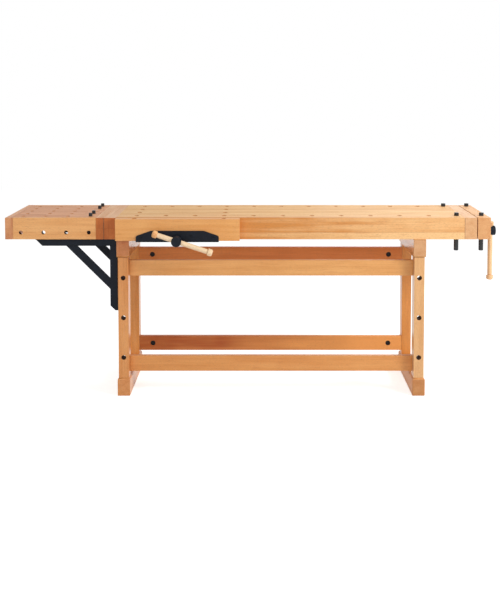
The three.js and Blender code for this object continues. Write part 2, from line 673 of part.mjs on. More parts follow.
// A vise in its own frame: the jaw runs along X, opens towards -Y and clamps on the plane Y = 0
function addVise(bench, vise) {
  const { name, jawLength, jawThickness, rodOffset, reach, dogHoles } = vise;
  const assembly = new THREE.Group();
  assembly.position.set(vise.place[0], vise.place[1], 0);
  assembly.rotation.z = vise.heading;
  bench.add(assembly);

  const jawFace = -jawThickness;
  const acrossJaw = [jawFace - OVERCUT, OVERCUT];
  const jaw = cut(board([-jawLength / 2, jawLength / 2], [jawFace, 0], [APRON_BOTTOM, BENCH_HEIGHT]), [
    ...screwWayAlongY(0, acrossJaw, SCREW_NOTCH_RADIUS),
    ...[-1, 1].map((side) => barAlongY(ROD_BORE_RADIUS, side * rodOffset, acrossJaw, ROD_AXIS_HEIGHT)),
    ...dogHoles.map((x) => dogHole(x, jawFace / 2)),
  ]);
  piece(assembly, `${name}_vise_jaw`, jaw, beech(LIGHT_BEECH));

  const plate = facePlateGeometry(vise.plateLength, vise.plateCorner, jawFace);
  piece(assembly, `${name}_vise_plate`, plate, blackSteel());

  const rodEnds = { left: -rodOffset, right: rodOffset };
  for (const [side, x] of Object.entries(rodEnds)) {
    const rod = barAlongY(ROD_RADIUS, x, [jawFace, reach], ROD_AXIS_HEIGHT);
    piece(assembly, `${name}_vise_${side}_rod`, rod, brightSteel());
  }

  const nutBlock = nutBlockGeometry(rodOffset, vise.nutStart);
  piece(assembly, `${name}_vise_nut_block`, nutBlock, castIron());

  const spindle = new THREE.Group();
  spindle.position.set(0, jawFace - BOSS_REACH, SCREW_AXIS_HEIGHT);
  spindle.rotation.y = vise.handleTilt;
  assembly.add(spindle);
  piece(spindle, `${name}_vise_screw`, screwGeometry(jawThickness, reach), blackSteel());

  const handle = new THREE.Group();
  handle.position.set(vise.handleShift, BOSS_REACH - HANDLE_SETBACK, 0);
  handle.rotation.z = Math.PI / 2;
  spindle.add(handle);
  piece(handle, `${name}_vise_handle`, handleBarGeometry(), beech(PALE_BEECH));
  piece(handle, `${name}_vise_handle_knob`, handleKnobGeometry(), beech(PALE_BEECH));
}

// Round bench dog, standing proud of the top
function addDog(bench, name, dog, x, y) {
  const profile = [
    [0, -dog.length],
    [dog.radius - DOG_CHAMFER, -dog.length],
    [dog.radius, -dog.length + DOG_CHAMFER],
    [dog.radius, -DOG_CHAMFER],
    [dog.radius - DOG_CHAMFER, 0],
    [0, 0],
  ];
  const geometry = turned(profile, HOLE_SIDES).rotateX(Math.PI / 2);
  const mesh = piece(bench, name, geometry, blackSteel());
  mesh.position.set(x, y, BENCH_HEIGHT + DOG_PROUD);
}

const bench = new THREE.Group();
addBenchTop(bench);
addExtension(bench);
addBracket(bench, "front", BRACKET_FRONT);
addBracket(bench, "rear", BRACKET_FRONT + BRACKET_SPACING);
addTrestle(bench, "left", LEFT_TRESTLE, -1);
addTrestle(bench, "right", RIGHT_TRESTLE, 1);
for (const row of ["front", "rear"]) {
  for (const level of Object.keys(STRETCHER_BOTTOMS)) {
    addStretcher(bench, row, level);
  }
}

addVise(bench, {
  name: "front",
  place: [FRONT_VISE_CENTRE, -FRONT_JAW_CLEARANCE],
  heading: 0,
  jawLength: FRONT_JAW_LENGTH,
  jawThickness: FRONT_JAW_THICKNESS,
  dogHoles: CROSS_COLUMNS.map((x) => x - FRONT_VISE_CENTRE),
  plateLength: FRONT_PLATE_LENGTH,
  plateCorner: FRONT_PLATE_CORNER,
  rodOffset: FRONT_ROD_OFFSET,
  reach: FRONT_REACH,
  nutStart: BEAM_DEPTH + FRONT_JAW_CLEARANCE + GAP,
  handleTilt: FRONT_HANDLE_TILT,
  handleShift: FRONT_HANDLE_SHIFT,
});

addVise(bench, {
  name: "tail",
  place: [TAIL_JAW_START, TAIL_VISE_CENTRE],
  heading: Math.PI / 2,
  jawLength: BENCH_DEPTH,
  jawThickness: TAIL_JAW_THICKNESS,
  dogHoles: [FRONT_DOG_ROW, REAR_DOG_ROW].map((y) => y - TAIL_VISE_CENTRE),
  plateLength: TAIL_PLATE_LENGTH,
  plateCorner: TAIL_PLATE_CORNER,
  rodOffset: TAIL_ROD_OFFSET,
  reach: TAIL_REACH,
  nutStart: END_CAP_WIDTH + TAIL_JAW_OPENING + GAP,
  handleTilt: Math.PI / 2,
  handleShift: HANDLE_STOP,
});

const jawDogLine = TAIL_JAW_START + TAIL_JAW_THICKNESS / 2;
addDog(bench, "bench_front_dog", LONG_DOG, LAST_DOG_HOLE, FRONT_DOG_ROW);
addDog(bench, "bench_rear_dog", LONG_DOG, LAST_DOG_HOLE, REAR_DOG_ROW);
addDog(bench, "jaw_front_dog", LONG_DOG, jawDogLine, FRONT_DOG_ROW);
addDog(bench, "jaw_rear_dog", LONG_DOG, jawDogLine, REAR_DOG_ROW);
[0, 1, 3, 4].forEach((row, index) => {
  addDog(bench, `extension_dog_${index + 1}`, SHORT_DOG, EXTENSION_LAST_COLUMN, EXTENSION_ROWS[row]);
});

// Floor under the middle of the box: the boss faces, the extension's end and the rear of the feet bound it
const LEFT_END = -EXTENSION_LENGTH;
const RIGHT_END = TAIL_JAW_START + TAIL_JAW_THICKNESS + BOSS_REACH;
const FRONT_END = -FRONT_JAW_CLEARANCE - FRONT_JAW_THICKNESS - BOSS_REACH;
const REAR_END = TRESTLE_DEPTH + FOOT_OVERHANG;
bench.position.set(-(LEFT_END + RIGHT_END) / 2, -(FRONT_END + REAR_END) / 2, 0);

const part = new THREE.Group();
part.add(bench);

export default part;
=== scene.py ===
import json
import math

import bmesh
import bpy
from mathutils import Matrix, Vector


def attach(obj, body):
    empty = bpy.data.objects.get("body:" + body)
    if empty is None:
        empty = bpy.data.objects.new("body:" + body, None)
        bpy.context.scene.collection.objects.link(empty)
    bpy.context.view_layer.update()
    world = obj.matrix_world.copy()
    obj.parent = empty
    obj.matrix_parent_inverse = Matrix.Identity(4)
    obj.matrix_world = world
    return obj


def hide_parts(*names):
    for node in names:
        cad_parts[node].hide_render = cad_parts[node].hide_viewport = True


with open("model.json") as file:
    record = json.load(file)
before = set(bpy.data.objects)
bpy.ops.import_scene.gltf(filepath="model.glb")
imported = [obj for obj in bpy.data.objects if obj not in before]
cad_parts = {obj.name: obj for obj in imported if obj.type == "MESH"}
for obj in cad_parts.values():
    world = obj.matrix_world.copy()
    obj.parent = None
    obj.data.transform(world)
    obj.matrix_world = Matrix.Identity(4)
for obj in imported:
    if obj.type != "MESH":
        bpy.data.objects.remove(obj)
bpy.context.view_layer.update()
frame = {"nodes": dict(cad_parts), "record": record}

nodes = frame["nodes"]

# The shared frame is in metres, and the bench layout in millimetres
MM = 1000.0

# Place of the layout point, where extension and bench front meet, in the shared frame
LAYOUT = Vector((-0.7705, -0.189, 0.0))

# Vises: heights of the screw, the rods and the seat of the nut-block bolts
SCREW_HEIGHT = 812.0
ROD_HEIGHT = 826.0
BLOCK_BOLT_SEAT = 853.4

# How far the boss and the plate stand in front of the jaw, and the lengths of boss, handle and knob
BOSS_REACH = 81.0
PLATE_FACE = 6.3
BOSS_LENGTH = 51.0
HANDLE_LENGTH = 314.0
KNOB_LENGTH = 25.0

# Each vise: place of the jaw's back at rest and the way it faces, jaw thickness, reach of screw and rods
# behind the jaw, distance of the rods from the screw, turn of the screw, slide of the handle, places of
# the plate bolts, and distance of the nut block
VISES = {
    "front": {
        "place": (376.5, -0.5),
        "heading": 0.0,
        "jaw": 49.5,
        "reach": 340.0,
        "rod": 140.0,
        "tilt": 18.4,
        "shift": 31.0,
        "plate_bolts": ((-180.0, 826.0), (-71.0, 833.0), (71.0, 833.0), (180.0, 826.0)),
        "block": 120.8,
    },
    "tail": {
        "place": (1895.0, 250.0),
        "heading": 90.0,
        "jaw": 65.0,
        "reach": 240.0,
        "rod": 80.0,
        "tilt": 90.0,
        "shift": 106.7,
        "plate_bolts": ((-128.0, 822.0), (-50.0, 833.0), (50.0, 833.0), (128.0, 822.0)),
        "block": 67.3,
    },
}

# Bolts of a nut block: place across it as a share of the rods' distance, and depth into it
BLOCK_BOLTS = ((-0.62, 20.0), (-0.38, 40.0), (0.38, 20.0), (0.62, 40.0))

# Bench dogs: place on the top, radius and length
DOG_TOP = 932.0
DOGS = {
    "bench_front_dog": (1800.0, 77.0, 12.0, 196.0),
    "bench_rear_dog": (1800.0, 443.0, 12.0, 196.0),
    "jaw_front_dog": (1927.5, 77.0, 12.0, 196.0),
    "jaw_rear_dog": (1927.5, 443.0, 12.0, 196.0),
    "extension_dog_1": (-76.0, 60.0, 9.4, 92.0),
    "extension_dog_2": (-76.0, 155.0, 9.4, 92.0),
    "extension_dog_3": (-76.0, 345.0, 9.4, 92.0),
    "extension_dog_4": (-76.0, 440.0, 9.4, 92.0),
}

# Bracket screws: middle of each bracket, seats of the screws in its arm and its post, and their places
BRACKET_MIDDLES = {"front": 36.0, "rear": 466.0}
ARM_SEAT = 801.0
ARM_SCREWS = (-300.0, -190.0, -70.0)
POST_SEAT = 59.7
POST_SCREWS = (480.0, 600.0, 720.0)

# Bolts that hold the top: middle of each trestle, their places along its bearer, and their seat
TRESTLE_MIDDLES = {"left": 96.0, "right": 1601.0}
TOP_BOLTS = (160.0, 342.0)
TOP_BOLT_SEAT = 712.6

BODY_OF_NODE = {
    node: body for body, members in frame["record"]["behaviour"]["bodies"].items() for node in members
}


def at(x, y, z):
    """A point of the bench layout, in millimetres, as a place in the shared frame."""
    return LAYOUT + Vector((x, y, z)) / MM


def srgb(red, green, blue):
    """A colour written in 0 to 255 display values, as the linear colour that a shader takes."""
    channels = [channel / 255.0 for channel in (red, green, blue)]
    linear = [c / 12.92 if c <= 0.04045 else ((c + 0.055) / 1.055) ** 2.4 for c in channels]
    return (*linear, 1.0)


# Shaders


class Shader:
    """A material's node tree, with one short call for each kind of node that is used here."""

    def __init__(self, name):
        self.material = bpy.data.materials.new(name)
        self.material.use_nodes = True
        self.tree = self.material.node_tree
        self.tree.nodes.clear()
        self.coordinates = self.add("ShaderNodeTexCoord")

    def add(self, kind, inputs=None, **settings):
        node = self.tree.nodes.new(kind)
        for key, value in settings.items():
            setattr(node, key, value)
        for socket, value in (inputs or {}).items():
            if isinstance(value, bpy.types.NodeSocket):
                self.tree.links.new(value, node.inputs[socket])
            else:
                node.inputs[socket].default_value = value
        return node

    def math(self, operation, first, second=0.0):
        return self.add("ShaderNodeMath", {0: first, 1: second}, operation=operation).outputs[0]

    def combine(self, x, y, z):
        return self.add("ShaderNodeCombineXYZ", {0: x, 1: y, 2: z}).outputs[0]

    def separate(self, vector):
        return self.add("ShaderNodeSeparateXYZ", {0: vector}).outputs

    def noise(self, vector, scale, detail=2.0, roughness=0.5):
        inputs = {"Vector": vector, "Scale": scale, "Detail": detail, "Roughness": roughness}
        return self.add("ShaderNodeTexNoise", inputs).outputs[0]

    def span(self, value, low, high, to_low=0.0, to_high=1.0):
        inputs = {0: value, 1: low, 2: high, 3: to_low, 4: to_high}
        return self.add("ShaderNodeMapRange", inputs).outputs[0]

    def mix(self, factor, first, second, blend="MIX"):
        inputs = {0: factor, 6: first, 7: second}
        return self.add("ShaderNodeMix", inputs, data_type="RGBA", blend_type=blend).outputs[2]

    def bump(self, height, strength, distance):
        inputs = {"Height": height, "Strength": strength, "Distance": distance}
        return self.add("ShaderNodeBump", inputs).outputs[0]

    def finish(self, **sockets):
        values = {key.replace("_", " "): value for key, value in sockets.items()}
        shader = self.add("ShaderNodeBsdfPrincipled", values)
        self.add("ShaderNodeOutputMaterial", {"Surface": shader.outputs[0]})
        return self.material


# Axes along, across and up a piece, for each grain axis
GRAIN_ORDER = {"X": (0, 1, 2), "Y": (1, 0, 2), "Z": (2, 0, 1)}

# Colours of the marks in the wood
STREAK = (0.52, 0.18, 0.05, 1.0)
FLECK = (0.30, 0.13, 0.055, 1.0)
GLUE = (0.25, 0.11, 0.045, 1.0)
RING = (0.20, 0.07, 0.03, 1.0)
SEAM = (0.10, 0.035, 0.015, 1.0)

# Distances over which a glue line, a seam and the rim of a bored wall come in, in metres
GLUE_FADE = (0.0009, 0.0004)
SEAM_FADE = (0.0030, 0.0016)
RIM_FADE = (0.0005, 0.0001)


def bored_wall(s, place, bores):
    """1 on the walls of a pattern of holes, from their two cross axes, start, pitch and radius."""
    offsets = []
    for axis, start, pitch in bores[:2]:
        step = s.math("DIVIDE", s.math("SUBTRACT", place[axis], start), pitch)
        step = s.math("SUBTRACT", step, s.math("ROUND", step))
        offsets.append(s.math("POWER", s.math("MULTIPLY", step, pitch), 2.0))
    distance = s.math("SQRT", s.math("ADD", *offsets))
    along = ({0, 1, 2} - {bores[0][0], bores[1][0]}).pop()
    facing_out = s.math("ABSOLUTE", s.separate(s.coordinates.outputs["Normal"])[along])
    near = s.span(distance, *(bores[2] + fade for fade in RIM_FADE))
    return s.math("MULTIPLY", near, s.span(facing_out, 0.5, 0.2))


def glue_line(s, count, width):
    """1 on the lines between staves, from the running count of staves and their width."""
    edge = s.math("ABSOLUTE", s.math("SUBTRACT", s.math("FRACT", count), 0.5))
    return s.span(edge, *(0.5 - fade / width for fade in GLUE_FADE))


def end_grain(s, colour, tint, across, up):
    """The colour on end grain, which is deeper in tone and shows its rings."""
    rings = s.add(
        "ShaderNodeTexWave",
        {
            "Vector": s.combine(0.0, across, up),
            "Scale": 60.0,
            "Distortion": 1.5,
            "Detail": 2.0,
            "Detail Scale": 0.6,
        },
        wave_type="RINGS",
        rings_direction="X",
    ).outputs["Fac"]
    tinted = s.mix(1.0, colour, tint, "MULTIPLY")
    return s.mix(s.math("MULTIPLY", rings, 0.16), tinted, RING)


def beech(name, grain, tone_name, stave, start, length, roughness, seed, contrast=1.0, extras=None):
    """Oiled beech glued up from staves: grain axis, tone, stave section, its start, and stave length."""
    extras = extras or {}
    s = Shader(name)
    light, dark, end_tint = TONES[tone_name]
    order = GRAIN_ORDER[grain]
    place = s.separate(s.coordinates.outputs["Object"])
    along, across, up = [place[index] for index in order]

    # Each stave has its own tone, and is made of shorter lengths
    row = s.math("DIVIDE", s.math("SUBTRACT", across, start[0]), stave[0])
    layer = s.math("DIVIDE", s.math("SUBTRACT", up, start[1]), stave[1])
    cell = s.combine(s.math("FLOOR", row), s.math("FLOOR", layer), seed)
    first = s.add("ShaderNodeTexWhiteNoise", {"Vector": cell}, noise_dimensions="3D")
    shifted = s.math("ADD", along, s.math("MULTIPLY", first.outputs["Value"], length))
    length_number = s.math("FLOOR", s.math("DIVIDE", shifted, length))
    second = s.add(
        "ShaderNodeTexWhiteNoise", {"Vector": cell, "W": length_number}, noise_dimensions="4D"
    )
    tone = second.outputs["Value"]
    offset = s.add(
        "ShaderNodeVectorMath", {0: second.outputs["Color"], 3: 4.0}, operation="SCALE"
    ).outputs[0]

    def stretched(along_scale, across_scale):
        vector = s.combine(
            s.math("MULTIPLY", along, along_scale),
            s.math("MULTIPLY", across, across_scale),
            s.math("MULTIPLY", up, across_scale),
        )
        return s.add("ShaderNodeVectorMath", {0: vector, 1: offset}, operation="ADD").outputs[0]

    patches = s.noise(stretched(5.0, 11.0), 1.0, 2.0, 0.5)
    bands = s.noise(stretched(1.6, 34.0), 1.0, 3.0, 0.55)
    lines = s.noise(stretched(5.0, 260.0), 1.0, 2.0, 0.6)
    streaks = s.span(s.noise(stretched(9.0, 130.0), 1.0, 2.0, 0.55), 0.60, 0.72)
    flecks = s.span(s.noise(stretched(110.0, 900.0), 1.0, 0.0), 0.6, 0.72)
    joint = s.math("MAXIMUM", glue_line(s, row, stave[0]), glue_line(s, layer, stave[1]))

    # Depth of tone, from the stave, the figure and what is particular to the piece
    depth = s.math("MULTIPLY", s.math("SUBTRACT", tone, 0.5), 0.62 * contrast)
    for pattern, weight in ((patches, 1.0), (bands, 1.9), (lines, 1.0)):
        part = s.math("MULTIPLY", s.math("SUBTRACT", pattern, 0.5), weight * contrast)
        depth = s.math("ADD", depth, part)
    if "paler_below" in extras:
        height, lift = extras["paler_below"]
        depth = s.math("SUBTRACT", depth, s.math("MULTIPLY", s.math("LESS_THAN", up, height), lift))
    # Painted light and shade: the tone drifts along the board, deeper where it lies in shade and paler
    # where more light falls
    if "painted_light_drift" in extras:
        limit, begin, finish, first_depth, last_depth, others = extras["painted_light_drift"]
        change = s.span(along, begin, finish, first_depth - others, last_depth - others)
        outer = s.math("LESS_THAN", across, limit)
        depth = s.math("ADD", depth, s.math("ADD", s.math("MULTIPLY", outer, change), others))
    colour = s.mix(s.span(depth, -0.6, 0.6), light, dark)
    colour = s.mix(s.math("MULTIPLY", streaks, 0.32 * contrast), colour, STREAK)
    colour = s.mix(s.math("MULTIPLY", flecks, 0.35), colour, FLECK)
    colour = s.mix(s.math("MULTIPLY", joint, 0.38), colour, GLUE)

    normal = s.separate(s.coordinates.outputs["Normal"])[order[0]]
    end = s.span(s.math("ABSOLUTE", normal), 0.75, 0.9)
    ring_across = s.math("ADD", across, s.math("MULTIPLY", tone, 0.3))
    ring_up = s.math("ADD", up, s.math("MULTIPLY", first.outputs["Value"], 0.06))
    colour = s.mix(end, colour, end_grain(s, colour, end_tint, ring_across, ring_up))

    height = s.math("ADD", s.math("MULTIPLY", lines, 0.5), s.math("MULTIPLY", flecks, -0.6))
    height = s.math("SUBTRACT", height, joint)
    rough = s.span(bands, 0.2, 0.8, roughness - 0.07, roughness + 0.07)

    # A butt joint with the next piece shows as a dark line across the end grain
    if "seam" in extras:
        seam_place, amount = extras["seam"]
        away = s.math("ABSOLUTE", s.math("SUBTRACT", place[0], seam_place))
        line = s.math("MULTIPLY", s.span(away, *SEAM_FADE, 0.0, amount), end)
        colour = s.mix(line, colour, SEAM)

    # Bored walls are bare and rough, and their colour is painted shade for the dark inside the holes
    if "bores" in extras:
        *pattern, wall_light, wall_dark = extras["bores"]
        wall = bored_wall(s, place, pattern)
        colour = s.mix(wall, colour, s.mix(lines, wall_light, wall_dark))
        rough = s.math("MAXIMUM", rough, wall)
    return s.finish(
        Base_Color=colour,
        Roughness=rough,
        Normal=s.bump(height, 0.3, 0.0005),
        Specular_IOR_Level=0.4,
        Coat_Weight=0.06,
        Coat_Roughness=0.3,
    )


def painted_steel(name, colour, worn, roughness, shine):
    """Satin paint on steel, with a fine skin and paler rubbed patches."""
    s = Shader(name)
    place = s.coordinates.outputs["Object"]
    skin = s.noise(place, 1400.0, 2.0)
    patches = s.noise(place, 38.0, 4.0, 0.6)
    return s.finish(
        Base_Color=s.mix(s.span(patches, 0.45, 0.8), colour, worn),
        Roughness=s.span(patches, 0.3, 0.7, roughness - 0.08, roughness + 0.1),
        Normal=s.bump(skin, 0.25, 0.0002),
        Specular_IOR_Level=shine,
    )


def cast(name, colour, worn):
    """Painted casting with a grainy face."""
    s = Shader(name)
    place = s.coordinates.outputs["Object"]
    grains = s.noise(place, 520.0, 3.0, 0.65)
    patches = s.noise(place, 26.0, 3.0)
    return s.finish(
        Base_Color=s.mix(s.span(patches, 0.4, 0.75), colour, worn),
        Metallic=0.3,
        Roughness=s.span(grains, 0.2, 0.8, 0.5, 0.75),
        Normal=s.bump(grains, 0.5, 0.0006),
    )


def ground_steel(name, colour, deep):
    """Bare steel with the fine marks of grinding and a thin film of oil."""
    s = Shader(name)
    place = s.coordinates.outputs["Object"]
    marks = s.noise(place, 1900.0, 2.0, 0.7)
    film = s.noise(place, 30.0, 3.0)
    return s.finish(
        Base_Color=s.mix(s.span(film, 0.35, 0.75), colour, deep),
        Metallic=1.0,
        Roughness=s.span(film, 0.3, 0.7, 0.2, 0.36),
        Normal=s.bump(marks, 0.12, 0.0001),
    )


# Meshes

# Corners of a turned piece sharper than this stay sharp, in degrees
CREASE = 38.0
THREAD_CREASE = 30.0

# Distance within which the vertices of a bored piece are one, in metres
SLIVER = 0.00003

# Steps in the rounding of a profile's corner
ROUNDING = 3


def around(radius, angle, along):
    """A point at an angle about +Y, from millimetres."""
    return (radius * math.sin(angle) / MM, along / MM, radius * math.cos(angle) / MM)


def turned(profile, sides=48):
    """Vertices and faces of a piece turned about +Y, from (radius, along) pairs in millimetres.

    A pair may carry a third value, the number of flats that its ring is filed to."""
    verts = []
    faces = []
    rings = []
    for radius, along, *flats in profile:
        if radius == 0.0:
            rings.append([len(verts)])
            verts.append((0.0, along / MM, 0.0))
            continue
        ring = []
        for step in range(sides):
            angle = 2.0 * math.pi * step / sides
            reach = radius
            if flats:
                sector = 2.0 * math.pi / flats[0]
                reach = radius / math.cos((angle % sector) - sector / 2.0)
            ring.append(len(verts))
            verts.append(around(reach, angle, along))
        rings.append(ring)
    for near, far in zip(rings, rings[1:]):
        for step in range(sides):
            after = (step + 1) % sides
            corners = [far[step % len(far)], near[step % len(near)]]
            if len(near) > 1:
                corners.append(near[after])
            if len(far) > 1:
                corners.append(far[after])
            faces.append(corners)
    return verts, faces


def thread(start, end, root, crest, pitch=6.0, sides=32):
    """Vertices and faces of a closed screw thread about +Y, between two places along it."""
    flanks = ((root, 0.3), (crest, 0.42), (crest, 0.88))
    steps = int((end - start - pitch) / pitch * sides)
    verts = []

    def add(radius, turn, part):
        verts.append(around(radius, 2.0 * math.pi * turn, start + pitch * (turn + part)))
        return len(verts) - 1

    # The valley runs one turn further than the ridge, so that each turn ends where the next begins
    valley = [add(root, step / sides, 0.0) for step in range(steps + sides + 1)]
    rows = []
    for step in range(steps + 1):
        fade = min(1.0, step / sides, (steps - step) / sides)
        ridge = [add(root + (radius - root) * fade, step / sides, part) for radius, part in flanks]
        rows.append([valley[step], *ridge, valley[step + sides]])
    faces = []
    for row, after in zip(rows, rows[1:]):
        for corner in range(len(row) - 1):
            faces.append((row[corner + 1], row[corner], after[corner], after[corner + 1]))

    # Both ends close on the axis, inside the shank
    foot = add(0.0, 0.0, 0.5)
    head = add(0.0, steps / sides, 0.5)
    foot_loop = [*rows[0], *valley[sides - 1 :: -1]]
    head_loop = [*rows[-1][::-1], *valley[steps + 1 : steps + sides + 1]]
    faces.extend((foot, first, second) for first, second in zip(foot_loop, foot_loop[1:]))
    faces.extend((head, first, second) for first, second in zip(head_loop, head_loop[1:]))
    return verts, faces


def shaded(mesh, sharp=CREASE):
    """The mesh shaded smooth, with its sharp corners kept."""
    for face in mesh.polygons:
        face.use_smooth = True
    mesh.set_sharp_from_angle(angle=math.radians(sharp))
    return mesh


def mesh_of(name, *parts, sharp=CREASE):
    """One smooth mesh from several lots of vertices and faces."""
    verts = []
    faces = []
    for part_verts, part_faces in parts:
        base = len(verts)
        verts.extend(part_verts)
        faces.extend([[base + index for index in face] for face in part_faces])
    mesh = bpy.data.meshes.new(name)
    mesh.from_pydata(verts, [], faces)
    mesh.update()
    return shaded(mesh, sharp)


def bored(mesh, cutter):
    """The first mesh with the second one cut out of it."""
    collection = bpy.context.scene.collection
    whole = bpy.data.objects.new(mesh.name, mesh)
    tool = bpy.data.objects.new(cutter.name, cutter)
    collection.objects.link(whole)
    collection.objects.link(tool)
    modifier = whole.modifiers.new("bore", "BOOLEAN")
    modifier.operation = "DIFFERENCE"
    modifier.solver = "EXACT"
    modifier.object = tool
    bpy.context.view_layer.update()
    graph = bpy.context.evaluated_depsgraph_get()
    result = bpy.data.meshes.new_from_object(whole.evaluated_get(graph))
    bpy.data.objects.remove(whole)
    bpy.data.objects.remove(tool)
    clean = bmesh.new()
    clean.from_mesh(result)
    bmesh.ops.remove_doubles(clean, verts=clean.verts, dist=SLIVER)
    bmesh.ops.dissolve_degenerate(clean, edges=clean.edges, dist=SLIVER)
    clean.to_mesh(result)
    clean.free()
    return shaded(result)


def eased(profile, ease):
    """The profile with each of its corners rounded over the given distance, in millimetres."""
    points = [Vector(point) for point in profile]
    out = [points[0]]
    for before, corner, after in zip(points, points[1:], points[2:]):
        reach = min(ease, (before - corner).length * 0.45, (after - corner).length * 0.45)
        start = corner + (before - corner).normalized() * reach
        end = corner + (after - corner).normalized() * reach
        for step in range(ROUNDING + 1):
            share = step / ROUNDING
            out.append(start.lerp(corner, share).lerp(corner.lerp(end, share), share))
    out.append(points[-1])
    return [tuple(point) for point in out]


def place_piece(name, mesh, matrix, material, body):
    """An object from a mesh, put in its place on the body that it rides on."""
    piece = bpy.data.objects.new(name, mesh)
    bpy.context.scene.collection.objects.link(piece)
    mesh.materials.clear()
    mesh.materials.append(material)
    piece.matrix_world = matrix
    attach(piece, body)
    return piece


def moved(x, y, z):
    """A move by millimetres."""
    return Matrix.Translation(Vector((x, y, z)) / MM)


def rolled(angle, axis):
    """A turn about an axis, by degrees."""
    return Matrix.Rotation(math.radians(angle), 4, axis)


def facing(direction):
    """A turn that points the turned axis, +Y, along a direction."""
    return Vector(direction).to_track_quat("Y", "Z").to_matrix().to_4x4()


UPWARD = (0.0, 0.0, 1.0)
DOWNWARD = (0.0, 0.0, -1.0)
LEFTWARD = (-1.0, 0.0, 0.0)


# Materials: each tone is a pale and a deep colour and the tint of its end grain

PLAIN_END = (0.80, 0.68, 0.66, 1.0)
TONES = {
    "golden": (srgb(240, 181, 117), srgb(218, 147, 80), PLAIN_END),
    "gilded": (srgb(238, 190, 132), srgb(208, 135, 65), PLAIN_END),
    "oat": (srgb(242, 198, 138), srgb(221, 163, 98), PLAIN_END),
    # cinnamon's deep colour, with its drift, is painted shade on the rear lower stretcher's left half
    "cinnamon": (srgb(236, 161, 88), srgb(170, 82, 26), PLAIN_END),
    # marigold's end tint, above 1, is a painted highlight on the vise jaw's end, where the light from
    # the right catches it
    "marigold": (srgb(244, 187, 119), srgb(222, 153, 83), (1.02, 1.10, 1.20, 1.0)),
    "amber": (srgb(231, 165, 97), srgb(208, 134, 68), PLAIN_END),
    "apricot": (srgb(232, 173, 107), srgb(210, 143, 77), PLAIN_END),
    # russet's deep end tint is partly the end grain's own tone and partly painted shadow of the vise jaw
    # on the caps' fronts
    "russet": (srgb(240, 196, 156), srgb(222, 168, 124), (0.665, 0.300, 0.086, 1.0)),
    "rose": (srgb(232, 170, 122), srgb(206, 136, 90), (0.98, 0.92, 0.84, 1.0)),
    "honey": (srgb(235, 170, 106), srgb(210, 136, 71), (0.87, 0.71, 0.66, 1.0)),
    # auburn, for the left front leg, is deeper than the right leg's wheat, partly painted shade for the
    # weaker light on the left
    "auburn": (srgb(231, 163, 98), srgb(206, 130, 65), (0.88, 0.78, 0.78, 1.0)),
    "tangerine": (srgb(249, 182, 110), srgb(232, 152, 77), (0.88, 0.78, 0.78, 1.0)),
    "clay": (srgb(235, 170, 106), srgb(210, 136, 71), (0.75, 0.74, 0.77, 1.0)),
    "sand": (srgb(235, 170, 106), srgb(210, 136, 71), (1.00, 0.97, 1.00, 1.0)),
    "wheat": (srgb(226, 177, 123), srgb(204, 145, 87), (0.86, 0.78, 0.78, 1.0)),
    "blush": (srgb(235, 180, 120), srgb(212, 148, 86), (0.86, 0.86, 1.00, 1.0)),
    "straw": (srgb(238, 190, 140), srgb(218, 159, 106), (0.87, 0.765, 0.64, 1.0)),
    "pale": (srgb(240, 200, 160), srgb(222, 170, 124), (0.91, 0.84, 0.72, 1.0)),
    # chestnut and sorrel are deeper copies of the beech, painted shade on the rear upper stretcher and
    # the right rear leg under the top
    "chestnut": (srgb(229, 141, 70), srgb(205, 114, 49), PLAIN_END),
    "sorrel": (srgb(223, 150, 76), srgb(199, 122, 53), PLAIN_END),
    "cream": (srgb(250, 226, 190), srgb(238, 202, 156), (0.90, 0.82, 0.76, 1.0)),
    "peach": (srgb(250, 200, 140), srgb(236, 176, 112), (0.98, 0.86, 0.80, 1.0)),
    # tan is a deeper copy of cream, painted shade for the tail handle
    "tan": (srgb(240, 200, 152), srgb(220, 166, 114), (0.88, 0.80, 0.74, 1.0)),
}

